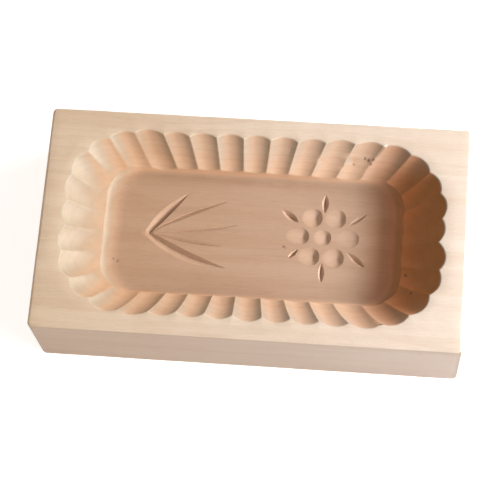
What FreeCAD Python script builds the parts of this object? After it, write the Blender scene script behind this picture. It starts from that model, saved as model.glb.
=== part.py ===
import FreeCAD, Part
import math
import os

import Sketcher
from FreeCAD import Placement, Rotation, Vector

# A one-piece carved wooden butter mold: a rectangular block with a fluted hollow, and a flower and a
# spray of leaves cut into the hollow's floor. Millimetres. The origin is the centre of the underside,
# X runs along the block (and along the grain), Y across it, and Z up, out of the hollow.

SIZES = {
    # the block
    "block_length": 190.0,
    "block_width": 104.0,
    "block_height": 45.0,
    "corner_radius": 2.2,
    "top_arris": 1.3,
    "bottom_arris": 2.0,
    # the flutes: scoops of one gouge, swung in an arc from the rim down to the pocket
    "flute_count": 36,
    "tip_half_length": 85.6,
    "tip_half_width": 43.6,
    "tip_corner_radius": 31.5,
    "rim_arc": 8.6,
    "gouge_radius": 11.0,
    "sweep_radius": 38.0,
    "flute_run": 13.9,
    "flute_depth": 10.9,
    # the flutes of the two ends are a little shallower, and the change is spread over this stretch of X
    "end_flute_depth": 10.0,
    "end_flutes_start": 50.0,
    "end_flutes_full": 76.0,
    "aim_share": 0.4,
    "aim_shift": -3.0,
    # where some of the ridges between flutes stand, along the outline from the right-hand end's middle:
    # the flutes were set out by eye, so each wall has its own spacing, even between these ridges
    "ridge_0": 9.9,
    "ridge_3": 45.5,
    "ridge_8": 110.4,
    "ridge_15": 197.4,
    "ridge_20": 261.1,
    "ridge_22": 290.9,
    "ridge_28": 367.6,
    "ridge_35": 461.1,
    # the pocket that the flutes run into, and the flat floor below its coved side
    "pocket_depth": 10.2,
    "pocket_half_length": 67.0,
    "pocket_half_width": 29.8,
    "pocket_corner_radius": 14.0,
    "pocket_shift": -0.5,
    "floor_depth": 14.25,
    "floor_half_length": 59.2,
    "floor_half_width": 26.3,
    "floor_corner_radius": 10.5,
    "floor_shift": 0.3,
    # the flower: round dimples in a ring and one in the middle, with chips between them
    "flower_x": 31.3,
    "flower_y": 1.8,
    "petal_count": 6,
    "petal_ring": 10.6,
    "petal_rim_radius": 4.2,
    "petal_depth": 1.2,
    "heart_rim_radius": 3.6,
    "heart_depth": 1.1,
    "chip_start": 12.6,
    "chip_length": 9.0,
    "chip_width": 2.7,
    "chip_depth": 1.2,
}

# The five leaves of the spray: where each starts, bends and ends on the floor, how wide it is on its
# left and right side (looking along it from the stem), and how deep.
LEAVES = {
    "outer_back_leaf": {
        "bend": [(-47.2, -0.5), (-39.5, 8.6), (-30.6, 19.5)],
        "sides": (3.0, 0.9),
        "depth": 1.5,
    },
    "inner_back_leaf": {
        "bend": [(-46.2, 0.2), (-31.0, 11.0), (-12.8, 16.3)],
        "sides": (0.5, 1.5),
        "depth": 1.0,
    },
    "middle_leaf": {
        "bend": [(-45.5, -0.5), (-27.0, 1.2), (-7.2, 5.5)],
        "sides": (0.8, 1.5),
        "depth": 0.8,
    },
    "inner_front_leaf": {
        "bend": [(-45.5, -0.9), (-32.0, -4.6), (-14.0, -5.4)],
        "sides": (1.2, 0.8),
        "depth": 0.7,
    },
    "outer_front_leaf": {
        "bend": [(-47.0, -1.0), (-31.0, -11.6), (-11.3, -15.2)],
        "sides": (2.0, 2.8),
        "depth": 1.5,
    },
}
LEAF_STATIONS = 9
LEAF_STEM_SHARE = 0.18  # a leaf is already this far into its swell at the stem
CUTTER_LIFT = 0.6  # how far a floor cutter stands above the floor
TIP_MARGIN_DEG = 4.0  # how far a scoop's cutter runs on above the rim
FOOT_MARGIN_DEG = 9.0  # and on past its foot, into the open pocket
SCOOP_GROUPS = 3  # neighbouring scoops overlap, so they are cut in turn: every third one together
COVE_ANGLES_DEG = (0.0, 22.5, 45.0, 67.5, 90.0)  # where sections are drawn down the coved side

doc = FreeCAD.newDocument("butter_mold")
sheet = doc.addObject("Spreadsheet::Sheet", "Sizes")
for row, (alias, value) in enumerate(SIZES.items(), start=1):
    sheet.set(f"A{row}", alias)
    sheet.set(f"B{row}", str(value))
    sheet.setAlias(f"B{row}", alias)
doc.recompute()


def size(alias):
    """The value of one driving dimension, read from the sheet."""
    return float(sheet.get(alias))


def origin_plane(body, role):
    """The body's own origin plane of that role, such as XY_Plane."""
    return next(feature for feature in body.Origin.OriginFeatures if feature.Role == role)


def rounded_rectangle(body, name, half_length, half_width, radius, height, shift="0"):
    """A level sketch of a rounded rectangle centred at (shift, 0). Its sizes are sheet expressions."""
    sketch = body.newObject("Sketcher::SketchObject", name)
    sketch.AttachmentSupport = [(origin_plane(body, "XY_Plane"), "")]
    sketch.MapMode = "FlatFace"
    sketch.setExpression("AttachmentOffset.Base.x", shift)
    sketch.setExpression("AttachmentOffset.Base.z", height)
    corners = [(1, 1), (-1, 1), (-1, -1), (1, -1)]
    guess_x, guess_y, guess_r = 50.0, 30.0, 5.0
    for turn, (side_x, side_y) in enumerate(corners):
        centre = Vector(side_x * (guess_x - guess_r), side_y * (guess_y - guess_r), 0)
        start = math.radians(90 * turn)
        circle = Part.Circle(centre, Vector(0, 0, 1), guess_r)
        sketch.addGeometry(Part.ArcOfCircle(circle, start, start + math.pi / 2), False)
    for turn in range(len(corners)):
        begin = sketch.getPoint(turn, 2)
        end = sketch.getPoint((turn + 1) % len(corners), 1)
        sketch.addGeometry(Part.LineSegment(begin, end), False)

    def add(*words):
        return sketch.addConstraint(Sketcher.Constraint(*words))

    for turn in range(4):
        line = 4 + turn
        add("Tangent", turn, 2, line, 1)
        add("Tangent", line, 2, (turn + 1) % 4, 1)
    for turn in range(3):
        add("Equal", turn, turn + 1)
    add("Horizontal", 4)
    add("Vertical", 5)
    add("Horizontal", 6)
    add("Vertical", 7)
    rules = {
        "right": (("DistanceX", -1, 1, 7, 1, guess_x), half_length),
        "left": (("DistanceX", 5, 1, -1, 1, guess_x), half_length),
        "back": (("DistanceY", -1, 1, 4, 1, guess_y), half_width),
        "front": (("DistanceY", 6, 1, -1, 1, guess_y), half_width),
        "corner": (("Radius", 0, guess_r), radius),
    }
    for label, (words, expression) in rules.items():
        index = add(*words)
        sketch.renameConstraint(index, label)
        sketch.setExpression(f"Constraints.{label}", expression)
    return sketch


def level_face(feature, height):
    """The name of the feature's largest flat face at that height."""
    found = [
        (face.Area, f"Face{number}")
        for number, face in enumerate(feature.Shape.Faces, start=1)
        if abs(face.BoundBox.ZMin - height) < 1e-6 and abs(face.BoundBox.ZMax - height) < 1e-6
    ]
    return max(found)[1]


def between(first, second, share):
    """An expression that goes from one size to another as the share goes from 0 to 1."""
    return f"Sizes.{first} + (Sizes.{second} - Sizes.{first}) * {share}"


def build_blank():
    """The block with its eased edges and the plain pocket, before any flute is cut."""
    body = doc.addObject("PartDesign::Body", "Blank")
    outline = rounded_rectangle(
        body, "BlockOutline", "Sizes.block_length / 2", "Sizes.block_width / 2", "Sizes.corner_radius", "0"
    )
    pad = body.newObject("PartDesign::Pad", "BlockPad")
    pad.Profile = outline
    pad.setExpression("Length", "Sizes.block_height")
    doc.recompute()

    top_edge = body.newObject("PartDesign::Fillet", "TopArris")
    top_edge.Base = (pad, [level_face(pad, size("block_height"))])
    top_edge.setExpression("Radius", "Sizes.top_arris")
    doc.recompute()

    bottom_edge = body.newObject("PartDesign::Fillet", "BottomArris")
    bottom_edge.Base = (top_edge, [level_face(top_edge, 0.0)])
    bottom_edge.setExpression("Radius", "Sizes.bottom_arris")
    doc.recompute()

    mouth = rounded_rectangle(
        body, "PocketOutline", "Sizes.pocket_half_length", "Sizes.pocket_half_width",
        "Sizes.pocket_corner_radius", "Sizes.block_height", "Sizes.pocket_shift"
    )
    pocket = body.newObject("PartDesign::Pocket", "Pocket")
    pocket.Profile = mouth
    pocket.setExpression("Length", "Sizes.pocket_depth")
    doc.recompute()

    sections = []
    for number, angle in enumerate(COVE_ANGLES_DEG):
        across = f"cos({angle} deg)"
        down = f"sin({angle} deg)"
        sections.append(rounded_rectangle(
            body, f"CoveSection{number}",
            between("floor_half_length", "pocket_half_length", across),
            between("floor_half_width", "pocket_half_width", across),
            between("floor_corner_radius", "pocket_corner_radius", across),
            "Sizes.block_height - (" + between("pocket_depth", "floor_depth", down) + ")",
            between("floor_shift", "pocket_shift", across),
        ))
    cove = body.newObject("PartDesign::SubtractiveLoft", "Cove")
    cove.Profile = sections[0]
    cove.Sections = sections[1:]
    cove.Ruled = False
    body.Tip = cove
    doc.recompute()
    return body


def rim_point(distance, inset):
    """The point at that distance round the outline of the flute tips, from the right-hand end's middle,
    and moved in from the outline by the inset."""
    half_x = size("tip_half_length")
    half_y = size("tip_half_width")
    radius = size("tip_corner_radius")
    straight_y = half_y - radius
    straight_x = half_x - radius
    quarter = math.pi / 2 * radius
    half_way_round = [straight_y, quarter, 2 * straight_x, quarter, straight_y]
    lengths = half_way_round * 2
    distance %= sum(lengths)
    heading = 90.0
    at = Vector(half_x, 0, 0)
    for number, length in enumerate(lengths):
        step = min(distance, length)
        ahead = Vector(math.cos(math.radians(heading)), math.sin(math.radians(heading)), 0)
        left = Vector(-ahead.y, ahead.x, 0)
        if number % 5 in (1, 3):
            turned = step / radius
            at = at + left * (radius * (1 - math.cos(turned))) + ahead * (radius * math.sin(turned))
            heading += math.degrees(turned)
        else:
            at = at + ahead * step
        distance -= step
        if distance <= 0:
            break
    return at + Vector(-math.sin(math.radians(heading)), math.cos(math.radians(heading)), 0) * inset


def rim_length():
    """The length of the outline of the flute tips."""
    straight = 4 * (size("tip_half_length") + size("tip_half_width") - 2 * size("tip_corner_radius"))
    return straight + 2 * math.pi * size("tip_corner_radius")


def ridge_place(number):
    """How far round the outline a ridge stands: evenly between the nearest ridges in the sheet."""
    count = int(size("flute_count"))
    known = {int(alias.split("_")[1]): size(alias) for alias in SIZES if alias.startswith("ridge_")}
    known[count] = known[0] + rim_length()
    before = max(mark for mark in known if mark <= number)
    after = min(mark for mark in known if mark >= number)
    if before == after:
        return known[before]
    share = (number - before) / (after - before)
    return known[before] + (known[after] - known[before]) * share


def flute_depth(x):
    """The depth at the foot of a flute whose rim arc is centred at that X."""
    share = (abs(x) - size("end_flutes_start")) / (size("end_flutes_full") - size("end_flutes_start"))
    share = max(0.0, min(1.0, share))
    return size("flute_depth") + (size("end_flute_depth") - size("flute_depth")) * share


def add_scoop(number):
    """The cutter of one flute: the gouge's round section swung about a level axis above the hollow.
    It leans about the middle of its arc at the rim, so that the arc still touches the outline."""
    middle = (ridge_place(number) + ridge_place(number + 1)) / 2
    arc_middle = rim_point(middle, size("rim_arc"))
    aim_x = size("aim_share") * arc_middle.x + size("aim_shift")
    inward = Vector(aim_x - arc_middle.x, -arc_middle.y, 0).normalize()
    tip = arc_middle - inward * size("rim_arc")
    tip.z = size("block_height")
    depth = flute_depth(arc_middle.x)
    up = Vector(0, 0, 1)
    chord = inward * size("flute_run") - up * depth
    toward_centre = (inward * depth + up * size("flute_run")).normalize()
    rise = math.sqrt(size("sweep_radius") ** 2 - (chord.Length / 2) ** 2)
    centre = tip + chord / 2 + toward_centre * rise
    to_tip = tip - centre
    to_foot = tip + chord - centre
    start = math.atan2(to_tip.dot(up), to_tip.dot(inward)) - math.radians(TIP_MARGIN_DEG)
    sweep = math.degrees(to_tip.getAngle(to_foot)) + TIP_MARGIN_DEG + FOOT_MARGIN_DEG
    local_x = inward * math.cos(start) + up * math.sin(start)
    local_z = inward.cross(up)
    local_y = local_z.cross(local_x)

    scoop = doc.addObject("Part::Torus", f"Scoop{number + 1:02d}")
    scoop.setExpression("Radius1", "Sizes.sweep_radius - Sizes.gouge_radius")
    scoop.setExpression("Radius2", "Sizes.gouge_radius")
    scoop.Angle1 = -180
    scoop.Angle2 = 180
    scoop.Angle3 = sweep
    scoop.Placement = Placement(centre, Rotation(local_x, local_y, local_z, "ZXY"))
    return scoop


def floor_height():
    return size("block_height") - size("floor_depth")


def add_dimple(name, x, y, rim_radius, depth):
    """A ball that cuts a round dimple of that rim radius and depth into the floor."""
    ball_radius = f"(Sizes.{rim_radius} ^ 2 + Sizes.{depth} ^ 2) / (2 * Sizes.{depth})"
    ball = doc.addObject("Part::Sphere", name)
    ball.setExpression("Radius", ball_radius)
    doc.recompute()
    ball.Placement.Base = Vector(x, y, floor_height() + ball.Radius.Value - size(depth))
    return ball


def add_chip(name, start, direction):
    """A diamond chip: four flat facets that meet at its deepest point."""
    length = size("chip_length")
    depth = size("chip_depth")
    grow = 1 + CUTTER_LIFT / depth
    side = Vector(-direction.y, direction.x, 0) * (size("chip_width") / 2 * grow)
    middle = start + direction * (length / 2)
    middle.z = floor_height() + CUTTER_LIFT
    reach = direction * (length / 2 * grow)
    rim = [middle - reach, middle + side, middle + reach, middle - side]
    apex = Vector(middle.x, middle.y, floor_height() - depth)
    faces = [Part.Face(Part.makePolygon(rim + [rim[0]]))]
    for begin, end in zip(rim, rim[1:] + rim[:1]):
        faces.append(Part.Face(Part.makePolygon([begin, end, apex, begin])))
    chip = doc.addObject("Part::Feature", name)
    chip.Shape = Part.Solid(Part.Shell(faces))
    return chip


def add_leaf(name, bend, sides, depth):
    """A tapering V cut along a gentle bend: a loft through triangles that swell and shrink."""
    start, middle, end = (Vector(x, y, floor_height()) for x, y in bend)
    wires = []
    for station in range(LEAF_STATIONS):
        share = station / (LEAF_STATIONS - 1)
        point = start * (1 - share) ** 2 + middle * (2 * share * (1 - share)) + end * share ** 2
        along = ((middle - start) * (1 - share) + (end - middle) * share).normalize()
        left = Vector(-along.y, along.x, 0)
        swell = math.sin(math.pi * (LEAF_STEM_SHARE + (1 - LEAF_STEM_SHARE) * share))
        swell = max(swell, 0.04)
        grow = swell + CUTTER_LIFT / depth
        lift = Vector(0, 0, CUTTER_LIFT)
        corners = [
            point + left * (sides[0] * grow) + lift,
            point - left * (sides[1] * grow) + lift,
            point - Vector(0, 0, depth * swell),
        ]
        wires.append(Part.makePolygon(corners + [corners[0]]))
    leaf = doc.addObject("Part::Feature", name)
    leaf.Shape = Part.makeLoft(wires, True, True)
    return leaf


def carve(base, name, tools):
    """The base with the tools' shapes cut away. Tools cut together don't touch each other."""
    group = doc.addObject("Part::Compound", name)
    group.Links = tools
    cut = doc.addObject("Part::Cut", f"After{name}")
    cut.Base = base
    cut.Tool = group
    doc.recompute()
    if cut.Shape.isNull() or cut.Shape.Volume > base.Shape.Volume - 1.0:
        raise RuntimeError(f"{name} cut nothing away")
    return cut


def flower_cutters():
    """The flower's dimples, and the chips that point outward between them."""
    centre = Vector(size("flower_x"), size("flower_y"), 0)
    dimples = [add_dimple("Heart", centre.x, centre.y, "heart_rim_radius", "heart_depth")]
    chips = []
    count = int(size("petal_count"))
    for number in range(count):
        petal_angle = 2 * math.pi * number / count
        chip_angle = petal_angle + math.pi / count
        petal = centre + Vector(math.cos(petal_angle), math.sin(petal_angle), 0) * size("petal_ring")
        dimples.append(add_dimple(f"Petal{number + 1}", petal.x, petal.y, "petal_rim_radius", "petal_depth"))
        direction = Vector(math.cos(chip_angle), math.sin(chip_angle), 0)
        chips.append(add_chip(f"Chip{number + 1}", centre + direction * size("chip_start"), direction))
    return dimples, chips


work = build_blank()
scoops = [add_scoop(number) for number in range(int(size("flute_count")))]
for group_number in range(SCOOP_GROUPS):
    work = carve(work, f"Scoops{group_number + 1}", scoops[group_number::SCOOP_GROUPS])
dimples, chips = flower_cutters()
work = carve(work, "Dimples", dimples)
work = carve(work, "Chips", chips)
for name, leaf in LEAVES.items():
    work = carve(work, f"Cut{name}", [add_leaf(name, leaf["bend"], leaf["sides"], leaf["depth"])])
work.Label = "mold_block"
work.Placement = Placement()
doc.recompute()

for item in doc.Objects:
    if {"Invalid", "Error"} & set(item.State):
        raise RuntimeError(f"{item.Name} failed: {item.State}")
SUB_PARTS = [work]
os.makedirs("parts", exist_ok=True)
for part in SUB_PARTS:
    if part.Shape.isNull() or not part.Shape.isValid() or len(part.Shape.Solids) != 1:
        raise RuntimeError(f"{part.Label} is not one sound solid")
    part.Shape.exportStep(f"parts/{part.Label}.step")
    removed = size("block_length") * size("block_width") * size("block_height") - part.Shape.Volume
    print(part.Label, "volume", round(part.Shape.Volume / 1000, 1), "cm3, removed", round(removed / 1000, 1))
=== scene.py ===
import math

import bpy
import numpy as np
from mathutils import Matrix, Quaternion, Vector
from mathutils.geometry import delaunay_2d_cdt


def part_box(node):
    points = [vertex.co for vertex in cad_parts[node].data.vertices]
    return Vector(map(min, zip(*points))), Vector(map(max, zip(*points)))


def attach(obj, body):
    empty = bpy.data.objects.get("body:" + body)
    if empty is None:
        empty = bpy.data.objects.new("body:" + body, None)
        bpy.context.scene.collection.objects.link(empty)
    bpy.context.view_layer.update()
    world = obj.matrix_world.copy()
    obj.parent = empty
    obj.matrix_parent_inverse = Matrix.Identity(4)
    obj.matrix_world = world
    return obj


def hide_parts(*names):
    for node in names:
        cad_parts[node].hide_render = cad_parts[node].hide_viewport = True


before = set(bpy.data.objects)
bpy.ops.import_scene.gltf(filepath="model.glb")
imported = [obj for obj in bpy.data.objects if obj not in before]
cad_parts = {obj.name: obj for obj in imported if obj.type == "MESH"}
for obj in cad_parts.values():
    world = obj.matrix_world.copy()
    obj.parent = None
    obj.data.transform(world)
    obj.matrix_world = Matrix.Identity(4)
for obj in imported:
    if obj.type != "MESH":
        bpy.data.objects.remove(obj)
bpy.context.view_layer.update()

# The looks of a one-piece carved wooden butter mold. The CAD block gives the size and the place. The mesh
# made here stands for it: the same block, with flutes that differ as hand-cut ones do, softened edges,
# nicks, and the flower and leaves cut as dimples, chips and V cuts. Plan places are millimetres from the
# block's centre, and heights are millimetres from the rim, so everything inside the hollow is negative.

CAD_LOW, CAD_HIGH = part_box("mold_block")
MM = 1000.0
HALF_LENGTH = (CAD_HIGH.x - CAD_LOW.x) / 2 * MM
HALF_WIDTH = (CAD_HIGH.y - CAD_LOW.y) / 2 * MM
BLOCK_HEIGHT = (CAD_HIGH.z - CAD_LOW.z) * MM
RIM_Z = CAD_HIGH.z

# the block's edges
CORNER_RADIUS = 2.2
TOP_ARRIS = 1.3
BOTTOM_ARRIS = 2.0

# the outline that the flutes' tips touch, and the flutes
TIP_HALF_LENGTH = 85.6
TIP_HALF_WIDTH = 43.6
TIP_CORNER = 31.5
FLUTES = 36
GOUGE_RADIUS = 11.0
SWEEP_RADIUS = 38.0
FLUTE_RUN = 13.9
FLUTE_DEPTH = 10.9
END_FLUTE_DEPTH = 10.0
END_FLUTES_FROM = (50.0, 76.0)
RIM_ARC = 8.6
AIM_SHARE = 0.4
AIM_SHIFT = -3.0
# Where eight of the ridges stand: (ridge number, place along the tips' outline from the right-hand end's
# middle). A measuring script turned 36 places picked by hand into distances along this outline, and these
# are eight of its results. The other ridges are spread evenly between them.
RIDGE_MARKS = [
    (0, 9.9), (3, 45.5), (8, 110.4), (15, 197.4),
    (20, 261.1), (22, 290.9), (28, 367.6), (35, 461.1),
]
# chips off the ridges: (x, y, how far they reach, how deep)
NICKS = [
    (41.5, 37.6, 1.6, 1.3), (27.8, 36.0, 1.0, 0.8), (37.8, 34.2, 0.9, 0.4), (-71.5, 7.2, 1.2, 0.3),
    (-46.5, 36.0, 0.8, 0.2), (13.9, 39.0, 0.8, 0.25), (-20.5, -37.6, 0.9, 0.25), (72.5, -21.5, 1.0, 0.25),
]

# the pocket that the flutes run into, with a cove round its flat floor
FLOOR_DEPTH = 14.25
COVE_HEIGHT = 4.05
# half length, half width, corner radius, and shift along X
COVE_TOP = (67.0, 29.8, 14.0, -0.5)
COVE_FOOT = (59.2, 26.3, 10.5, 0.3)

# the flower
FLOWER = (31.3, 1.8)
PETAL_RING = 10.6

# a chip's half width and depth, as multiples of what its row says
CHIP_HALF_WIDTH = 0.65
CHIP_DEEPENING = 1.25

# how far apart the loose points lie that fill the floor round its carving, and the flat rim
FLOOR_SPACING = 1.6
TOP_SPACING = 3.0
# steps round each corner of the block, and the spacing of the points along its sides
CORNER_STEPS = 8
SIDE_SPACING = 4.0
# the ring of points just outside the rim of the hollow, and how far the worn rim lies below the top
LIP_OUT = 0.3
LIP_DROP = 0.07
# how far along X the feet of the flutes start and finish to count as an end's
END_FEET = (56, 66)
# edges of the cuts that bend more than this many degrees stay crisp
CRISP_ANGLE = 24

# pin knots and little pits in the hollow, seen from above: (x, y, radius, strength)
PITS = [
    (69.0, -14.7, 0.75, 0.85), (71.7, -23.8, 0.7, 0.85), (-62.2, -14.0, 0.45, 0.7), (-60.2, -14.9, 0.8, 0.4),
    (13.9, -3.5, 0.6, 0.7), (14.8, -4.0, 0.35, 0.6), (49.6, 37.4, 0.75, 0.75), (47.9, 38.1, 0.6, 0.6),
    (51.6, 37.6, 0.6, 0.7), (50.6, 35.9, 0.65, 0.6), (43.0, 35.8, 0.5, 0.5),
]

# the wood's colours
LIGHT_WOOD = (0.880, 0.755, 0.645, 1.0)
DARK_WOOD = (0.730, 0.565, 0.435, 1.0)
PALE_FIBRE = (0.93, 0.83, 0.75, 1.0)
CLOUDY_WOOD = (0.72, 0.545, 0.42, 1.0)
FINE_LINE = (0.52, 0.35, 0.21, 1.0)
SPECK = (0.55, 0.38, 0.24, 1.0)
PORE = (0.40, 0.25, 0.14, 1.0)
PIT = (0.13, 0.06, 0.03, 1.0)
# tints that multiply them
# painted shade: the left of the block darker and yellower, where the key light falls off and the top's sheen
# fades
LEFT_SHADE_TINT = (0.94, 0.86, 0.74, 1.0)
# painted shade: the hollow darker and redder, deepening with depth
HOLLOW_SHADE_TINT = (0.88, 0.53, 0.30, 1.0)
# painted shade: the hollow's floor, its bottom, darker and greyer
FLOOR_SHADE_TINT = (0.735, 0.75, 0.79, 1.0)
END_GRAIN_TINT = (0.62, 0.73, 0.80, 1.0)
# painted shade: the hollow's right-hand end, away from the key light, with the right wall's shadow on the
# floor
RIGHT_SHADE_TINT = (0.74, 0.36, 0.12, 1.0)
# painted shade: the outer sides darker and greyer than the top
SIDE_SHADE_TINT = (0.515, 0.47, 0.45, 1.0)
OUTER_END_TINT = (0.50, 0.47, 0.43, 1.0)

# the growth rings: where their pith lies, how far apart they are, and how much they waver
PITH_IN_FRONT = 22.0
PITH_BELOW = 95.0
RING_SPACING = 3.1
RING_WAVER = 16.0

# the camera: where it looks, in metres, and from which direction, in degrees
CAMERA_TARGET = (0.0, -0.0108, RIM_Z)
CAMERA_AZIMUTH = 12.97
CAMERA_ELEVATION = 71.0
CAMERA_ROLL = -8.87
CAMERA_DISTANCE = 0.7948
CAMERA_LENS = 129.8

# every soft panel: its azimuth and elevation in degrees, distance, width and height in metres, and watts
LIGHTS = {
    "key_light": (1, 20.2, 0.80, 1.15, 0.14, 14.0),
    "back_fill": (105, 40.0, 1.20, 0.60, 0.40, 1.4),
    "front_fill": (-105, 35.0, 1.20, 0.60, 0.40, 1.4),
}
LIGHT_TARGET = (0.0, 0.0, 0.04)

rng = np.random.default_rng(36)


# ---------------------------------------------------------------- outlines and surfaces


def rounded_outline(distance, half_x, half_y, radius, inset=0.0):
    """Points at those distances round a rounded rectangle, anticlockwise from the right-hand end's middle.
    They are moved in from it by the inset."""
    lengths = [half_y - radius, math.pi / 2 * radius, 2 * (half_x - radius), math.pi / 2 * radius]
    lengths += [2 * (half_y - radius)] + lengths[1:4] + [half_y - radius]
    places = []
    for left_over in np.mod(distance, sum(lengths)):
        heading = math.pi / 2
        at = np.array([half_x, 0.0])
        for number, length in enumerate(lengths):
            step = min(left_over, length)
            ahead = np.array([math.cos(heading), math.sin(heading)])
            left = np.array([-ahead[1], ahead[0]])
            if number % 2:
                turned = step / radius
                at = at + left * radius * (1 - math.cos(turned)) + ahead * radius * math.sin(turned)
                heading += turned
            else:
                at = at + ahead * step
            left_over -= step
            if left_over <= 0:
                break
        places.append(at + inset * np.array([-math.sin(heading), math.cos(heading)]))
    return np.array(places)


def outline_length(half_x, half_y, radius):
    return 4 * (half_x + half_y - 2 * radius) + 2 * math.pi * radius


def outside_by(x, y, half_x, half_y, radius, shift=0.0):
    """How far a point is outside a rounded rectangle. It is negative inside."""
    over_x = np.abs(x - shift) - (half_x - radius)
    over_y = np.abs(y) - (half_y - radius)
    past_corner = np.hypot(np.maximum(over_x, 0), np.maximum(over_y, 0))
    return past_corner + np.minimum(np.maximum(over_x, over_y), 0) - radius


def cove_outline(share):
    """The cove's outline at a share of its way out: 0 at the floor, 1 at its top."""
    return [foot + (top - foot) * share for foot, top in zip(COVE_FOOT, COVE_TOP)]


def cove_surface(x, y):
    """The height of the floor and of the cove round it. Outside the cove's top it is solid wood."""
    x, y = np.asarray(x, float), np.asarray(y, float)
    low, high = np.zeros_like(x + y), np.ones_like(x + y)
    for _ in range(26):
        middle = (low + high) / 2
        outside = outside_by(x, y, *cove_outline(middle)) > 0
        low, high = np.where(outside, middle, low), np.where(outside, high, middle)
    share = np.where(outside_by(x, y, *cove_outline(0)) <= 0, 0, low)
    height = -FLOOR_DEPTH + COVE_HEIGHT * (1 - np.sqrt(1 - np.minimum(share, 1) ** 2))
    beyond = outside_by(x, y, *cove_outline(1))
    return np.where(beyond > 0, 50 + beyond, height)


def floor_edge_points(foot, is_ridge):
    """Where each column meets the floor's outline: ridges at the nearest point, and the rest evenly."""
    *outline, shift = COVE_FOOT
    around = outline_length(*outline)
    samples = 1600
    places = rounded_outline(np.linspace(0, around, samples, endpoint=False), *outline) + (shift, 0)
    ridges = np.flatnonzero(is_ridge)
    near = np.array([np.argmin(((places - foot[i]) ** 2).sum(axis=1)) for i in ridges]) * around / samples
    near = np.unwrap(near, period=around)
    columns = np.append(ridges, ridges[0] + len(foot))
    along = np.interp(np.arange(len(foot)) + len(foot) * (np.arange(len(foot)) < ridges[0]), columns,
                      np.append(near, near[0] + around))
    return (rounded_outline(along, *outline) + (shift, 0)).T


class Scoops:
    """The flutes: each is a round gouge swung in an arc, with its own small errors of hand."""

    def __init__(self):
        around = outline_length(TIP_HALF_LENGTH, TIP_HALF_WIDTH, TIP_CORNER)
        numbers, places = zip(*RIDGE_MARKS, (FLUTES, RIDGE_MARKS[0][1] + around))
        ridges = np.interp(np.arange(FLUTES + 1), numbers, places)
        middles = (ridges[:-1] + ridges[1:]) / 2 + rng.uniform(-0.35, 0.35, FLUTES)
        # a flute leans about the middle of its arc at the rim, so its arc still touches the outline
        arc = rounded_outline(middles, TIP_HALF_LENGTH, TIP_HALF_WIDTH, TIP_CORNER, RIM_ARC)
        aim = AIM_SHARE * arc[:, 0] + AIM_SHIFT + rng.uniform(-1.5, 1.5, FLUTES)
        inward = np.column_stack([aim - arc[:, 0], -arc[:, 1]])
        self.inward = inward / np.linalg.norm(inward, axis=1)[:, None]
        self.tip = arc - self.inward * (RIM_ARC + rng.uniform(-0.4, 0.4, FLUTES))[:, None]
        self.gouge = GOUGE_RADIUS + rng.uniform(-0.5, 0.5, FLUTES)
        at_end = smooth_step(np.abs(arc[:, 0]), *END_FLUTES_FROM)
        depth = FLUTE_DEPTH + (END_FLUTE_DEPTH - FLUTE_DEPTH) * at_end + rng.uniform(-0.2, 0.2, FLUTES)
        chord = np.hypot(FLUTE_RUN, depth)
        rise = np.sqrt(SWEEP_RADIUS**2 - (chord / 2) ** 2)
        self.centre_along = FLUTE_RUN / 2 + depth / chord * rise
        self.centre_up = -depth / 2 + FLUTE_RUN / chord * rise

    def surface(self, number, x, y):
        """The height that this scoop cuts down to."""
        number = np.mod(number, FLUTES)
        from_x, from_y = x - self.tip[number, 0], y - self.tip[number, 1]
        in_x, in_y = self.inward[number, 0], self.inward[number, 1]
        along = from_x * in_x + from_y * in_y
        across = -from_x * in_y + from_y * in_x
        gouge = self.gouge[number]
        reach = SWEEP_RADIUS - gouge + np.sqrt(np.maximum(gouge**2 - across**2, 0))
        drop = np.maximum(reach**2 - (along - self.centre_along[number]) ** 2, 0)
        spread = np.maximum(np.abs(across) - gouge, 0)
        return self.centre_up[number] - np.sqrt(drop) + 2 * spread


def smooth_step(value, low, high):
    share = np.clip((value - low) / (high - low), 0, 1)
    return share * share * (3 - 2 * share)


def soft_minimum(a, b, blend):
    """The lower of two heights, with the corner between them rounded over that much height."""
    near = np.maximum(blend - np.abs(a - b), 0) / blend
    return np.minimum(a, b) - near * near * blend / 4


def bisect(test, low, high, steps=30):
    """Where test changes from false to true between low and high, for arrays."""
    low, high = np.array(low, float), np.array(high, float)
    for _ in range(steps):
        middle = (low + high) / 2
        found = test(middle)
        low, high = np.where(found, low, middle), np.where(found, middle, high)
    return (low + high) / 2


# ---------------------------------------------------------------- a closed mesh, made ring by ring


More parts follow.
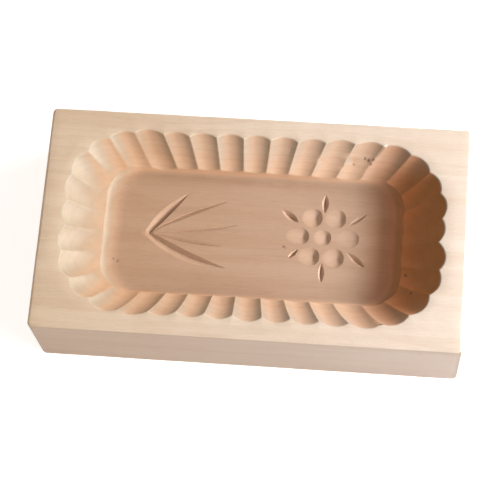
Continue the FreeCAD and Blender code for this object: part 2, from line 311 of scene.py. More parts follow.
class Shell:
    """Points and faces of one closed mesh."""

    def __init__(self):
        self.points = []
        self.faces = []

    def add(self, x, y, z):
        """Adds points and gives their numbers."""
        x, y, z = np.broadcast_arrays(x, y, z)
        first = len(self.points)
        self.points.extend(zip(x.ravel().tolist(), y.ravel().tolist(), z.ravel().tolist()))
        return list(range(first, len(self.points)))

    def strip(self, outer, inner):
        """Joins two rings of equal length with quads that face up, or outward if outer is the lower one."""
        for i in range(len(outer)):
            k = (i + 1) % len(outer)
            self.faces.append((outer[i], outer[k], inner[k], inner[i]))

    def fill(self, rings, x, y, height, lines=(), holes=(), face_down=False):
        """Fills the inside of the first ring, less the holes, with triangles through the loose points x, y.
        Rings are lists of points already added. Lines are chains of indices into the loose points."""
        known = [number for ring in rings for number in ring]
        places = [Vector(self.points[number][:2]) for number in known]
        edges, first = [], 0
        for ring in rings:
            edges += [(first + i, first + (i + 1) % len(ring)) for i in range(len(ring))]
            first += len(ring)
        places += [Vector((float(a), float(b))) for a, b in zip(x, y)]
        edges += [(first + a, first + b) for line in lines for a, b in zip(line, line[1:])]
        made = delaunay_2d_cdt(places, edges, [], 0, 1e-5)
        out_places, triangles, origins = made[0], made[2], made[3]
        numbers = []
        for place, origin in zip(out_places, origins):
            old = [o for o in origin if o < len(known)]
            if old:
                numbers.append(known[old[0]])
            else:
                numbers.append(self.add(place.x, place.y, height(np.array(place.x), np.array(place.y)))[0])
        middles = np.array([[sum(out_places[i][axis] for i in t) / 3 for axis in (0, 1)] for t in triangles])
        keep = inside_polygon(middles, [self.points[n] for n in rings[0]])
        for hole in holes:
            keep &= ~inside_polygon(middles, [self.points[n] for n in hole])
        for wanted, triangle in zip(keep, triangles):
            if wanted:
                corners = tuple(numbers[i] for i in triangle)
                self.faces.append(corners[::-1] if face_down else corners)

    def mesh(self, name):
        """The Blender mesh, in metres, in the frame."""
        made = bpy.data.meshes.new(name)
        points = [(x / MM, y / MM, RIM_Z + z / MM) for x, y, z in self.points]
        made.from_pydata(points, [], self.faces)
        made.validate()
        return made


def inside_polygon(points, polygon):
    """Which points lie inside a polygon."""
    corners = np.array(polygon)[:, :2]
    inside = np.zeros(len(points), bool)
    for (x0, y0), (x1, y1) in zip(corners, np.roll(corners, -1, axis=0)):
        crosses = (y0 > points[:, 1]) != (y1 > points[:, 1])
        if crosses.any():
            at = x0 + (points[:, 1] - y0) * (x1 - x0) / ((y1 - y0) or 1e-12)
            inside ^= crosses & (points[:, 0] < at)
    return inside


def wander(along, size, periods, seed):
    """A smooth uneven line, closed over along = 0 to 1, for worn edges."""
    waves = np.random.default_rng(seed)
    total = np.zeros_like(along)
    for period in periods:
        total += np.sin(2 * math.pi * (period * along + waves.uniform())) * waves.uniform(0.5, 1)
    return size * total / len(periods)


# ---------------------------------------------------------------- the carving on the floor


def bent(points, share):
    """A point and heading on a gentle bend through start, pull and end."""
    start, pull, end = (np.array(p, float) for p in points)
    share = np.asarray(share, float)[:, None]
    place = start * (1 - share) ** 2 + pull * 2 * share * (1 - share) + end * share**2
    heading = (pull - start) * (1 - share) + (end - pull) * share
    return place, heading / np.linalg.norm(heading, axis=1)[:, None]


class Dimple:
    """A hollow scooped from left to right: long and gentle on the left, short and steep on the right."""

    # rings of points about it, as shares of its half width: the second is its rim
    rings = (1.05, 1.0, 0.95, 0.86, 0.74, 0.6, 0.45, 0.3, 0.15)
    around = 44
    # how far the bowl leans to its steep side, that side's reach, and how far right of the middle it starts
    skew = 0.78
    steep_end = 0.88
    steep_from = 0.12

    def __init__(self, x, y, rim, depth, tail=1.3):
        self.x = x + self.steep_from * rim
        self.y = y
        self.rim = rim
        self.depth = depth
        self.tail = tail

    def surface(self, x, y):
        over, up = (x - self.x) / self.rim, (y - self.y) / self.rim
        over = np.where(over < 0, over / self.tail, over / self.steep_end)
        bowl = np.maximum(1 - over**2 - up**2, 0)
        return -self.depth * bowl * (1 + self.skew * over)

    def sketch(self):
        """Its points, and the chains of them that have to be edges."""
        angle = np.linspace(0, 2 * math.pi, self.around, endpoint=False)
        along = np.cos(angle) * np.where(np.cos(angle) < 0, self.tail, self.steep_end)
        x = np.concatenate([self.x + self.rim * ring * along for ring in self.rings] + [[self.x]])
        y = np.concatenate([self.y + self.rim * ring * np.sin(angle) for ring in self.rings] + [[self.y]])
        rim = list(range(self.around, 2 * self.around))
        return x, y, [rim + rim[:1]]


class Cut:
    """A V cut along a bend, with its own width on each side and a swell that says how it grows and fades."""

    # lines of points along it, as shares of its width, and the points on each line
    across = (-1.0, -0.66, -0.33, 0.0, 0.33, 0.66, 1.0)
    stations = 31
    # how blunt its ends are, and how far it runs out past them
    bluntness = 0.85
    run_out = 2.0

    def __init__(self, bend, left, right, depth, stem=0.0, hollow=1.0):
        self.bend, self.left, self.right, self.depth = bend, left, right, depth
        self.stem, self.hollow = stem, hollow
        self.line, self.heading = bent(bend, np.linspace(0, 1, 181))

    def swell(self, share):
        return np.maximum(np.sin(math.pi * (self.stem + (1 - self.stem) * share)), 0) ** self.bluntness

    def surface(self, x, y):
        x, y = np.atleast_1d(x), np.atleast_1d(y)
        from_x = x[..., None] - self.line[:, 0]
        from_y = y[..., None] - self.line[:, 1]
        near = np.argmin(from_x**2 + from_y**2, axis=-1)
        near_x = np.take_along_axis(from_x, near[..., None], -1)[..., 0]
        near_y = np.take_along_axis(from_y, near[..., None], -1)[..., 0]
        beside = -near_x * self.heading[near, 1] + near_y * self.heading[near, 0]
        past = near_x * self.heading[near, 0] + near_y * self.heading[near, 1]
        swell = self.swell(near / (len(self.line) - 1)) - np.abs(past) / self.run_out
        width = np.where(beside > 0, self.left, self.right) * np.maximum(swell, 1e-6)
        share = np.clip(1 - np.abs(beside) / width, 0, 1)
        return -self.depth * np.maximum(swell, 0) * share**self.hollow

    def sketch(self):
        share = np.linspace(0, 1, self.stations)
        place, heading = bent(self.bend, share)
        swell = np.maximum(self.swell(share), 0.03)
        x, y = [], []
        for side in self.across:
            width = (self.left if side > 0 else self.right) * side * swell
            x.append(place[:, 0] - heading[:, 1] * width)
            y.append(place[:, 1] + heading[:, 0] * width)
        chains = [list(range(k * self.stations, (k + 1) * self.stations)) for k in (0, 3, 6)]
        return np.concatenate(x), np.concatenate(y), chains


def flower_cuts():
    """Seven dimples, and six chips that point outward between the petals, none quite like the next."""
    cuts = [Dimple(FLOWER[0] - 0.1, FLOWER[1], 3.7, 0.95)]
    # each petal: how far it strays, its half width, its depth, and how far its gentle end runs out
    petals = [(1.4, 0.0, 4.1, 0.6, 1.55), (0.1, 0.1, 4.4, 0.95, 1.35), (0.0, 0.0, 4.5, 1.1, 1.2),
              (0.4, 0.1, 3.9, 1.0, 1.85), (0.0, -0.1, 4.2, 1.1, 1.5), (0.2, -0.2, 4.4, 1.05, 1.35)]
    for number, (stray_x, stray_y, half_width, depth, tail) in enumerate(petals):
        angle = math.pi / 3 * number
        x = FLOWER[0] + PETAL_RING * math.cos(angle) + stray_x
        y = FLOWER[1] + PETAL_RING * math.sin(angle) + stray_y
        cuts.append(Dimple(x, y, half_width, depth, tail))
    # each chip: how far out it starts and ends, how far it leans, and its width and depth
    chips = [(12.8, 22.9, 3.0, 1.6, 0.8), (11.8, 20.6, 0.0, 2.4, 1.4), (13.4, 23.0, -2.5, 2.7, 1.3),
             (12.6, 18.6, 5.0, 1.7, 1.0), (12.1, 21.4, 1.0, 2.2, 1.3), (12.6, 23.4, -4.0, 2.4, 1.1)]
    for number, (start, end, lean, width, depth) in enumerate(chips):
        angle = math.pi / 6 + math.pi / 3 * number
        tip_angle = angle + math.radians(lean)
        first = (FLOWER[0] + start * math.cos(angle), FLOWER[1] + start * math.sin(angle))
        last = (FLOWER[0] + end * math.cos(tip_angle), FLOWER[1] + end * math.sin(tip_angle))
        pull = ((first[0] + last[0]) / 2, (first[1] + last[1]) / 2)
        half_width = width * CHIP_HALF_WIDTH
        cuts.append(Cut([first, pull, last], half_width, half_width, depth * CHIP_DEEPENING))
    return cuts


def leaf_cuts():
    """The spray of five leaves. The outer two have a broad bevel on their outer side."""
    return [
        Cut([(-47.2, -0.5), (-39.5, 8.6), (-30.6, 19.5)], 3.5, 0.9, 1.7, stem=0.18, hollow=1.05),
        Cut([(-46.2, 0.2), (-31.0, 11.0), (-12.2, 16.6)], 0.3, 1.7, 0.9, stem=0.05),
        Cut([(-45.5, -0.5), (-27.0, 1.2), (-7.2, 5.5)], 0.5, 2.2, 0.8, stem=0.0, hollow=1.3),
        Cut([(-45.5, -0.9), (-32.0, -4.6), (-14.0, -5.4)], 1.6, 0.7, 0.7, stem=0.0, hollow=1.2),
        Cut([(-47.0, -1.0), (-31.0, -11.6), (-11.0, -15.4)], 1.9, 3.2, 1.7, stem=0.18, hollow=1.05),
    ]


def floor_surface(cuts):
    """The height of the carved floor."""
    def height(x, y):
        lowest = np.zeros_like(np.atleast_1d(x), float)
        for cut in cuts:
            lowest = np.minimum(lowest, cut.surface(x, y))
        return -FLOOR_DEPTH + lowest
    return height


# ---------------------------------------------------------------- the block


def flute_columns(scoops):
    """Lines down the hollow's wall, from the rim to where the flutes meet the cove. Ridges are among them.
    For each column: the place at the rim and at the foot, and the two scoops that it may lie in."""
    here = np.arange(FLUTES)
    there = here + 1
    zero = np.zeros(FLUTES)

    def between(along):
        """The ridge between each scoop and the next, at a distance in from the tips."""
        start = scoops.tip[here] + scoops.inward[here] * along[:, None]
        end = scoops.tip[there % FLUTES] + scoops.inward[there % FLUTES] * along[:, None]

        def at(share):
            return start + (end - start) * share[:, None]

        def next_is_lower(share):
            place = at(share)
            return scoops.surface(here, *place.T) > scoops.surface(there, *place.T)

        return at(bisect(next_is_lower, zero, zero + 1))

    def ridge_is_low(along):
        place = between(along)
        return scoops.surface(here, *place.T) < 0

    def ridge_meets_cove(along):
        place = between(along)
        return scoops.surface(here, *place.T) > cove_surface(*place.T)

    def trough_place(along):
        return scoops.tip + scoops.inward * along[:, None]

    def trough_meets_cove(along):
        place = trough_place(along)
        return scoops.surface(here, *place.T) > cove_surface(*place.T)

    # a ridge reaches the rim within the first stretch in from the tips, and the cove within the second
    near_rim = (zero - 2, zero + 9)
    near_cove = (zero + 6, zero + 23.8)
    ridge_head = between(bisect(ridge_is_low, *near_rim))
    ridge_foot = between(bisect(ridge_meets_cove, *near_cove))
    trough = trough_place(bisect(trough_meets_cove, *near_cove))

    steps = np.array([0, 0.14, 0.28, 0.42, 0.56, 0.69, 0.81, 0.91, 0.965])
    heads, feet, first, second, is_ridge = [], [], [], [], []
    for number in range(FLUTES):
        for side, ridge in ((-1, number - 1), (1, number)):
            order = steps[:0:-1] if side < 0 else steps
            for share in order:
                head = scoops.tip[number] * (1 - share) + ridge_head[ridge] * share
                foot = trough[number] * (1 - share) + ridge_foot[ridge] * share
                heads.append(head)
                feet.append(foot)
                first.append(number)
                second.append((number + side) % FLUTES)
                is_ridge.append(False)
        heads.append(ridge_head[number])
        feet.append(ridge_foot[number])
        first.append(number)
        second.append((number + 1) % FLUTES)
        is_ridge.append(True)
    heads, feet, first, second, is_ridge = (np.array(a) for a in (heads, feet, first, second, is_ridge))

    def along_line(share):
        return heads + (feet - heads) * share[:, None]

    def wall(share):
        place = along_line(share)
        return np.minimum(scoops.surface(first, *place.T), scoops.surface(second, *place.T))

    def meets_cove(share):
        return wall(share) > cove_surface(*along_line(share).T)

    start = np.zeros(len(first))
    top = bisect(lambda share: wall(share) < 0, start - 0.5, start + 0.5)
    bottom = bisect(meets_cove, start + 0.6, start + 1.25)
    return along_line(top), along_line(bottom), first, second, is_ridge


def nicks(x, y):
    """How much wood the nicks have taken off at a place."""
    lost = np.zeros_like(x)
    for at_x, at_y, reach, deep in NICKS:
        lost = np.maximum(lost, deep * np.exp(-(((x - at_x) ** 2 + (y - at_y) ** 2) / reach**2)))
    return lost


def without_folds(ring, rounds=60, reach=5):
    """The ring with any point that steps backwards drawn in between its neighbours."""
    for _ in range(rounds):
        step = np.roll(ring, -1, axis=0) - ring
        heading = np.roll(ring, -reach, axis=0) - np.roll(ring, reach, axis=0)
        backwards = np.sum(step * heading, axis=1) <= 0
        if not backwards.any():
            break
        folded = (backwards | np.roll(backwards, 1))[:, None]
        ring = np.where(folded, (np.roll(ring, 1, axis=0) + np.roll(ring, -1, axis=0)) / 2, ring)
    return ring


def build_wall(shell, scoops):
    """The fluted wall and the cove. Gives the ring just outside the rim, and the ring round the floor."""
    head, foot, first, second, is_ridge = flute_columns(scoops)
    count = len(first)
    around = np.arange(count) / count
    out = head - foot
    out = out / np.linalg.norm(out, axis=1)[:, None]
    lip = without_folds(head + out * LIP_OUT)
    rings = [shell.add(lip[:, 0], lip[:, 1], 0.0)]
    rows = np.concatenate([[0, 0.018, 0.05, 0.09], np.linspace(0.14, 0.93, 19), [0.965, 0.988]])
    at_left = smooth_step(-foot[:, 0] - 1, *END_FEET)
    at_right = smooth_step(foot[:, 0] + 1, *END_FEET)
    worn = (0.55 + wander(around, size=0.2, periods=(7, 19, 31), seed=5)) * (1 - 0.5 * at_right)

    def surface(x, y, share):
        """The flutes and the cove, with worn ridges. They melt together at the left end's feet."""
        melt = at_left * smooth_step(share, 0.3, 1.0)
        z = soft_minimum(scoops.surface(first, x, y), scoops.surface(second, x, y), worn + 2.4 * melt)
        return soft_minimum(z, cove_surface(x, y), 0.5 + 2.0 * at_left + 1.0 * at_right)

    for share in rows:
        x, y = (head + (foot - head) * share).T
        z = surface(x, y, share) - nicks(x, y)
        if share == 0:
            z = np.minimum(z, 0) - LIP_DROP
        rings.append(shell.add(x, y, z))
    floor_x, floor_y = floor_edge_points(foot, is_ridge)
    for share in (0, 0.06, 0.16, 0.28, 0.4, 0.52, 0.64, 0.76, 0.88, 1):
        x = foot[:, 0] + (floor_x - foot[:, 0]) * share
        y = foot[:, 1] + (floor_y - foot[:, 1]) * share
        melted = -soft_minimum(-surface(x, y, 1.0), FLOOR_DEPTH, 0.05 + 1.2 * (1 - share))
        rings.append(shell.add(x, y, melted if share < 1 else -FLOOR_DEPTH))
    for outer, inner in zip(rings, rings[1:]):
        shell.strip(outer, inner)
    return rings[0], rings[-1]


def build_floor(shell, ring):
    """The floor with its carving, as triangles that follow the edges of every cut."""
    cuts = flower_cuts() + leaf_cuts()
    height = floor_surface(cuts)
    xs, ys, lines, first = [], [], [], 0
    for cut in cuts:
        x, y, chains = cut.sketch()
        xs.append(x)
        ys.append(y)
        lines += [[first + i for i in chain] for chain in chains]
        first += len(x)
    carved = np.column_stack([np.concatenate(xs), np.concatenate(ys)])
    # loose points keep clear of the floor's edge and of every cut
    spacing = FLOOR_SPACING
    half_x, half_y = COVE_FOOT[:2]
    grid_x, grid_y = np.meshgrid(np.arange(-half_x, half_x, spacing), np.arange(-half_y, half_y, spacing))
    grid = np.column_stack([grid_x.ravel(), grid_y.ravel()])
    grid = grid + rng.uniform(-0.25, 0.25, grid.shape)
    grid = grid[outside_by(grid[:, 0], grid[:, 1], *COVE_FOOT) < -spacing * 0.7]
    near = np.array([np.min((carved[:, 0] - gx) ** 2 + (carved[:, 1] - gy) ** 2) for gx, gy in grid])
    grid = grid[near > (spacing * 0.55) ** 2]
    x = np.concatenate([carved[:, 0], grid[:, 0]])
    y = np.concatenate([carved[:, 1], grid[:, 1]])
    start = len(shell.points)
    shell.fill([ring], x, y, height, lines)
    return start, len(shell.points)


def block_ring():
    """Places on the block's inner core and the way out from each, once round, anticlockwise."""
    core_x, core_y = HALF_LENGTH - CORNER_RADIUS, HALF_WIDTH - CORNER_RADIUS
    corners = [(core_x, core_y), (-core_x, core_y), (-core_x, -core_y), (core_x, -core_y)]
    core, way = [], []
    for turn, corner in enumerate(corners):
        begin = math.pi / 2 * turn
        for angle in np.linspace(begin, begin + math.pi / 2, CORNER_STEPS + 1):
            core.append(corner)
            way.append((math.cos(angle), math.sin(angle)))
        following = corners[(turn + 1) % 4]
        run = math.dist(corner, following)
        for share in np.linspace(0, 1, int(run / SIDE_SPACING) + 1)[1:-1]:
            core.append(tuple(a + (b - a) * share for a, b in zip(corner, following)))
            way.append(way[-1])
    return np.array(core), np.array(way)


def build_outside(shell, lip_ring):
    """The rim's flat top, the sides, the eased edges and the underside."""
    core, way = block_ring()
    around = np.arange(len(core)) / len(core)
    top = TOP_ARRIS + wander(around, size=0.3, periods=(5, 11, 23, 41), seed=11)
    bottom = BOTTOM_ARRIS + wander(around, size=0.3, periods=(4, 9, 17, 29), seed=12)
    quarter = np.linspace(0, math.pi / 2, 7)
    sections = [(CORNER_RADIUS - top * (1 - math.sin(a)), -top * (1 - math.cos(a))) for a in quarter]
    for share in np.linspace(0, 1, 9)[1:-1]:
        sections.append((CORNER_RADIUS, -top - (BLOCK_HEIGHT - top - bottom) * share))
    sections += [(CORNER_RADIUS - bottom * (1 - math.cos(a)), -BLOCK_HEIGHT + bottom * (1 - math.sin(a)))
                 for a in quarter]
    rings = []
    for radius, height in sections:
        place = core + way * np.broadcast_to(radius, len(core))[:, None]
        rings.append(shell.add(place[:, 0], place[:, 1], height))
    for upper, lower in zip(rings, rings[1:]):
        shell.strip(lower, upper)

    along_x = np.arange(-HALF_LENGTH, HALF_LENGTH, TOP_SPACING) + TOP_SPACING / 2
    along_y = np.arange(-HALF_WIDTH, HALF_WIDTH, TOP_SPACING) + TOP_SPACING / 2
    x, y = (grid.ravel() for grid in np.meshgrid(along_x, along_y))
    edge_gap = 3.5
    tip_gap = 2.5
    inside = outside_by(x, y, HALF_LENGTH - edge_gap, HALF_WIDTH - edge_gap, CORNER_RADIUS) < 0
    clear = outside_by(x, y, TIP_HALF_LENGTH + tip_gap, TIP_HALF_WIDTH + tip_gap, TIP_CORNER) > 0

    def rim_height(x, y):
        return 0 * x

    def underside_height(x, y):
        return 0 * x - BLOCK_HEIGHT

    on_rim = inside & clear
    shell.fill([rings[0], lip_ring], x[on_rim], y[on_rim], rim_height, holes=[lip_ring])
    shell.fill([rings[-1]], x[inside][::4], y[inside][::4], underside_height, face_down=True)


def build_block():
    """The carved block as one closed mesh."""
    shell = Shell()
    scoops = Scoops()
    lip_ring, floor_ring = build_wall(shell, scoops)
    carved = build_floor(shell, floor_ring)
    build_outside(shell, lip_ring)
    mesh = shell.mesh("carved_block")
    mesh.shade_smooth()
    block = bpy.data.objects.new("carved_block", mesh)
    bpy.context.scene.collection.objects.link(block)
    mark_cut_edges(mesh, *carved)
    return block


def mark_cut_edges(mesh, first, last):
    """Keeps the edges of the cuts in the floor crisp."""
    normals = {}
    for face in mesh.polygons:
        for key in face.edge_keys:
            normals.setdefault(key, []).append(face.normal)
    for edge in mesh.edges:
        a, b = edge.vertices
        if first <= a < last and first <= b < last:
            pair = normals[tuple(sorted((a, b)))]
            if len(pair) == 2 and pair[0].angle(pair[1], 0) > math.radians(CRISP_ANGLE):
                edge.use_edge_sharp = True


# ---------------------------------------------------------------- the wood


class Nodes:
    """A short way to write a node tree."""

    def __init__(self, tree):
        self.tree = tree

    def add(self, kind, inputs=None, **settings):
        node = self.tree.nodes.new(kind)
        for name, value in settings.items():
            setattr(node, name, value)
        for name, value in (inputs or {}).items():
            socket = node.inputs[name]
            if isinstance(value, bpy.types.NodeSocket):
                self.tree.links.new(value, socket)
            else:
                socket.default_value = value
        return node

    def math(self, operation, a, b=0.0):
        return self.add("ShaderNodeMath", {0: a, 1: b}, operation=operation).outputs[0]

    def stretched(self, place, scale):
        """The place with each axis scaled."""
        return self.add("ShaderNodeVectorMath", {0: place, 1: scale}, operation="MULTIPLY").outputs[0]

    def noise(self, place, detail, roughness=0.5):
        words = {"Vector": place, "Scale": 1.0, "Detail": detail, "Roughness": roughness}
        return self.add("ShaderNodeTexNoise", words).outputs["Fac"]

    def ramp(self, value, low, high, to_low=0.0, to_high=1.0):
        words = {"Value": value, "From Min": low, "From Max": high, "To Min": to_low, "To Max": to_high}
        return self.add("ShaderNodeMapRange", words, interpolation_type="SMOOTHSTEP").outputs["Result"]

    def mix(self, share, a, b, blend="MIX"):
        node = self.add("ShaderNodeMix", data_type="RGBA", blend_type=blend)
        for socket, value in ((node.inputs[0], share), (node.inputs[6], a), (node.inputs[7], b)):
            if isinstance(value, bpy.types.NodeSocket):
                self.tree.links.new(value, socket)
            else:
                socket.default_value = value
        return node.outputs[2]


def growth_rings(n, place, parts):
    """1 in the late wood of each ring. The rings are shells about a pith below the block, and they waver
    slowly along the grain."""
    waver = n.noise(n.stretched(place, (0.006, 0.03, 0.03)), detail=2.0)
    from_pith_y = n.math("ADD", parts.outputs["Y"], PITH_IN_FRONT)
    from_pith_z = n.math("ADD", parts.outputs["Z"], PITH_BELOW)
    far = n.math("SQRT", n.math("ADD", n.math("POWER", from_pith_y, 2.0), n.math("POWER", from_pith_z, 2.0)))
    far = n.math("ADD", far, n.math("MULTIPLY", waver, RING_WAVER))
    ring = n.math("FRACT", n.math("DIVIDE", far, RING_SPACING))
    late_wood = n.ramp(ring, 0.55, 0.97)
    ring_end = n.ramp(ring, 0.0, 0.06, 1.0, 0.0)
    return n.math("MAXIMUM", late_wood, ring_end)


def fresh_colour(n, place, late_wood, fibre, fine, speck, pore_mark):
    """Rings, fibres, broad bands and cloudy mottling, before the painted shade and the end grain's tone."""
    band = n.noise(n.stretched(place, (0.007, 0.16, 0.16)), detail=3.0)
    cloud = n.noise(n.stretched(place, (0.03, 0.05, 0.05)), detail=3.0)
    colour = n.mix(n.math("MULTIPLY", late_wood, 0.32), LIGHT_WOOD, DARK_WOOD)
    colour = n.mix(n.ramp(fibre, 0.3, 0.72, 0.0, 0.5), colour, PALE_FIBRE)
    colour = n.mix(n.ramp(band, 0.35, 0.7, 0.0, 0.34), colour, DARK_WOOD)
    colour = n.mix(n.ramp(cloud, 0.4, 0.75, 0.0, 0.25), colour, CLOUDY_WOOD)
    colour = n.mix(n.ramp(fine, 0.42, 0.72, 0.0, 0.26), colour, FINE_LINE)
    colour = n.mix(n.ramp(speck, 0.55, 0.8, 0.0, 0.18), colour, SPECK)
    return n.mix(n.math("MULTIPLY", pore_mark, 0.16), colour, PORE)


def shade_and_end_grain_colour(n, colour, parts, normal, depth):
    """The wood with painted shade: darker and yellower to the left, where the key light falls off, and
    darker and redder in the hollow. The end grain's own darker tone is added too.
    """
    out_y = n.math("ABSOLUTE", parts.outputs["Y"])
    in_x = n.ramp(n.math("ABSOLUTE", parts.outputs["X"]), 87.5, 89.0, 1.0, 0.0)
    in_hollow = n.math("MULTIPLY", in_x, n.ramp(out_y, 45.5, 47.0, 1.0, 0.0))
    # painted shade towards the left, where less light falls
    left_shade = n.ramp(parts.outputs["X"], 95.0, -95.0)
    colour = n.mix(left_shade, colour, LEFT_SHADE_TINT, "MULTIPLY")

    # painted shade darkens and reddens the wood inside the hollow, more with depth, and most of all on its
    # floor
    hollow_shade = n.math("ADD", n.ramp(depth, 0.05, 0.7, 0.0, 0.40), n.ramp(depth, 3.0, 11.0, 0.0, 0.18))
    colour = n.mix(n.math("MULTIPLY", hollow_shade, in_hollow), colour, HOLLOW_SHADE_TINT, "MULTIPLY")
    # painted shade on the floor, the bottom of the hollow
    floor_shade = n.math("MULTIPLY", n.ramp(depth, 12.2, 14.2), in_hollow)
    colour = n.mix(floor_shade, colour, FLOOR_SHADE_TINT, "MULTIPLY")

    # the end grain has drunk more; on top of that, painted shade and painted shadow darken the hollow's
    # right-hand end, which faces away from the key light
    end_grain = n.math("MULTIPLY", n.ramp(n.math("ABSOLUTE", normal.outputs["X"]), 0.12, 0.55), in_hollow)
    end_grain = n.math("MULTIPLY", end_grain, n.ramp(depth, 13.3, 14.2, 1.0, 0.0))
    colour = n.mix(end_grain, colour, END_GRAIN_TINT, "MULTIPLY")
    # painted shade over the right wall, and painted shadow on the floor in front of it
    right_shade = n.math("MULTIPLY", n.ramp(parts.outputs["X"], 42.0, 70.0), n.ramp(depth, 0.05, 0.7))
    right_shade = n.math("MULTIPLY", right_shade, n.ramp(out_y, 26.0, 42.0, 1.0, 0.5))
    right_shade = n.math("MULTIPLY", right_shade, in_hollow)
    return n.mix(right_shade, colour, RIGHT_SHADE_TINT, "MULTIPLY")


def side_shade_and_end_grain_colour(n, colour, parts, normal):
    """The outer sides with painted shade, duller than the planed top, and the bare end grain at the right,
    darker still.
    """
    out_x = n.ramp(n.math("ABSOLUTE", parts.outputs["X"]), 90.0, 93.0)
    out_y = n.ramp(n.math("ABSOLUTE", parts.outputs["Y"]), 48.5, 50.5)
    upright = n.ramp(n.math("ABSOLUTE", normal.outputs["Z"]), 0.75, 0.35)
    # painted shade on the upright outer sides
    side = n.math("MULTIPLY", upright, n.math("MAXIMUM", out_x, out_y))
    colour = n.mix(side, colour, SIDE_SHADE_TINT, "MULTIPLY")
    outer_end = n.math("MULTIPLY", n.ramp(parts.outputs["X"], 92.5, 94.5), upright)
    return n.mix(outer_end, colour, OUTER_END_TINT, "MULTIPLY")


def pitted_colour(n, colour, place, depth, speck):
    """Pin knots and little pits in the hollow, with uneven edges. None shows on the underside."""
    above = n.stretched(place, (1.0, 1.0, 0.0))
    uneven = n.math("MULTIPLY", speck, 0.5)
    in_carving = n.ramp(depth, 17.0, 18.0, 1.0, 0.0)
    for x, y, radius, strength in PITS:
        away = n.add("ShaderNodeVectorMath", {0: above, 1: (x, y, 0.0)}, operation="DISTANCE")
        away = n.math("ADD", away.outputs["Value"], uneven)
        pit = n.ramp(away, radius * 0.7, radius + 0.55, strength, 0.0)
        colour = n.mix(n.math("MULTIPLY", pit, in_carving), colour, PIT)
    return colour


def grain_bump(n, place, fibre, fine, pore_mark):
    """Faint raised grain, open pores and broad tool marks."""
    grain_height = n.math("ADD", n.math("MULTIPLY", fine, 0.5), n.math("MULTIPLY", fibre, 0.5))
    grain_height = n.math("SUBTRACT", grain_height, n.math("MULTIPLY", pore_mark, 0.35))
    tool = n.noise(n.stretched(place, (0.16, 0.16, 0.16)), detail=1.0)
    surface = n.math("ADD", grain_height, n.math("MULTIPLY", tool, 1.5))
    return n.add("ShaderNodeBump", {"Strength": 0.35, "Distance": 0.00012, "Height": surface})


def wood_material():
    """Pale maple-like wood: the grain runs along X all through the block, so ends and cuts show it too."""
    material = bpy.data.materials.new("pale_wood")
    material.use_nodes = True
    tree = material.node_tree
    tree.nodes.clear()
    n = Nodes(tree)
    place = n.stretched(n.add("ShaderNodeTexCoord").outputs["Object"], (MM, MM, MM))
    parts = n.add("ShaderNodeSeparateXYZ", {0: place})
    normal = n.add("ShaderNodeSeparateXYZ", {0: n.add("ShaderNodeTexCoord").outputs["Normal"]})
    depth = n.math("SUBTRACT", RIM_Z * MM, parts.outputs["Z"])

    fibre = n.noise(n.stretched(place, (0.035, 1.5, 1.5)), detail=5.0, roughness=0.6)
    fine = n.noise(n.stretched(place, (0.16, 7.0, 7.0)), detail=3.0, roughness=0.65)
    speck = n.noise(n.stretched(place, (0.9, 2.6, 2.6)), detail=2.0, roughness=0.7)
    pore = n.add("ShaderNodeTexVoronoi", {"Vector": n.stretched(place, (0.22, 2.2, 2.2)), "Scale": 1.0})
    pore_mark = n.ramp(pore.outputs["Distance"], 0.1, 0.24, 1.0, 0.0)

    late_wood = growth_rings(n, place, parts)
    colour = fresh_colour(n, place, late_wood, fibre, fine, speck, pore_mark)
    colour = shade_and_end_grain_colour(n, colour, parts, normal, depth)
    colour = side_shade_and_end_grain_colour(n, colour, parts, normal)
    colour = pitted_colour(n, colour, place, depth, speck)
    bump = grain_bump(n, place, fibre, fine, pore_mark)

    shader = n.add("ShaderNodeBsdfPrincipled", {"Base Color": colour, "Normal": bump.outputs["Normal"]})
    roughness = n.ramp(fibre, 0.25, 0.75, 0.50, 0.62)
    tree.links.new(roughness, shader.inputs["Roughness"])
    shader.inputs["Specular IOR Level"].default_value = 0.6
    output = n.add("ShaderNodeOutputMaterial")
    tree.links.new(shader.outputs[0], output.inputs["Surface"])
    return material


# ---------------------------------------------------------------- floor, light and camera


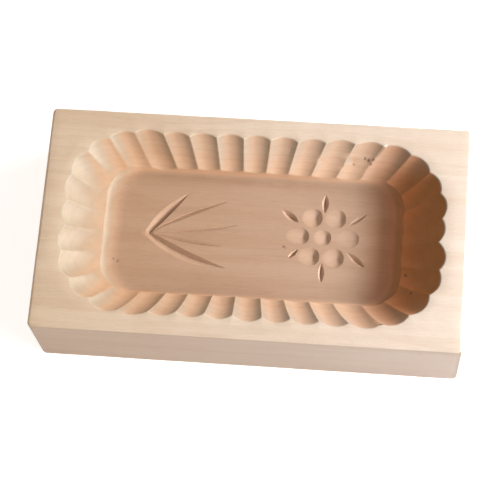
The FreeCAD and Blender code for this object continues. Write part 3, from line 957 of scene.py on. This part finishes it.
def add_floor():
    """A plain white studio floor that the block stands on."""
    mesh = bpy.data.meshes.new("studio_floor")
    reach = 4.0
    corners = [(-reach, -reach, 0), (reach, -reach, 0), (reach, reach, 0), (-reach, reach, 0)]
    mesh.from_pydata(corners, [], [(0, 1, 2, 3)])
    floor = bpy.data.objects.new("studio_floor", mesh)
    bpy.context.scene.collection.objects.link(floor)
    material = bpy.data.materials.new("white_floor")
    material.use_nodes = True
    shader = material.node_tree.nodes["Principled BSDF"]
    shader.inputs["Base Color"].default_value = (0.93, 0.93, 0.93, 1)
    shader.inputs["Roughness"].default_value = 0.9
    shader.inputs["Specular IOR Level"].default_value = 0.1
    shader.inputs["Emission Color"].default_value = (1, 1, 1, 1)
    shader.inputs["Emission Strength"].default_value = 0.60
    mesh.materials.append(material)


def direction(azimuth, elevation):
    """The way toward an azimuth and elevation in degrees. Azimuth 0 is off the block's right-hand end."""
    azimuth, elevation = math.radians(azimuth), math.radians(elevation)
    level = math.cos(elevation)
    return Vector((math.cos(azimuth) * level, math.sin(azimuth) * level, math.sin(elevation)))


def add_area_light(name, azimuth, elevation, distance, width, height, power):
    """A soft panel that faces the block from that direction."""
    light = bpy.data.lights.new(name, "AREA")
    light.shape = "RECTANGLE"
    light.size = width
    light.size_y = height
    light.energy = power
    lamp = bpy.data.objects.new(name, light)
    away = direction(azimuth, elevation)
    lamp.location = Vector(LIGHT_TARGET) + away * distance
    lamp.rotation_mode = "QUATERNION"
    lamp.rotation_quaternion = away.to_track_quat("Z", "Y")
    bpy.context.scene.collection.objects.link(lamp)


def add_light():
    """A long soft key low on the right, weak fills from behind and in front, and an even warm surround."""
    for name, settings in LIGHTS.items():
        add_area_light(name, *settings)
    world = bpy.data.worlds.new("warm_surround")
    world.use_nodes = True
    background = world.node_tree.nodes["Background"]
    background.inputs["Color"].default_value = (1.0, 0.86, 0.73, 1)
    background.inputs["Strength"].default_value = 0.33
    bpy.context.scene.world = world


def add_camera():
    """Looks steeply down at the block from the front, a little from the right, and slightly turned."""
    data = bpy.data.cameras.new("camera")
    data.lens = CAMERA_LENS
    data.sensor_width = 36.0
    camera = bpy.data.objects.new("camera", data)
    away = direction(CAMERA_AZIMUTH - 90, CAMERA_ELEVATION)
    roll = Quaternion((0, 0, 1), math.radians(CAMERA_ROLL))
    camera.location = Vector(CAMERA_TARGET) + away * CAMERA_DISTANCE
    camera.rotation_mode = "QUATERNION"
    camera.rotation_quaternion = (-away).to_track_quat("-Z", "Y") @ roll
    bpy.context.scene.collection.objects.link(camera)
    bpy.context.scene.camera = camera


add_camera()
add_light()
add_floor()

block = build_block()
block.data.materials.append(wood_material())
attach(block, "root")
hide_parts("mold_block")

bpy.context.scene.view_settings.view_transform = "Standard"
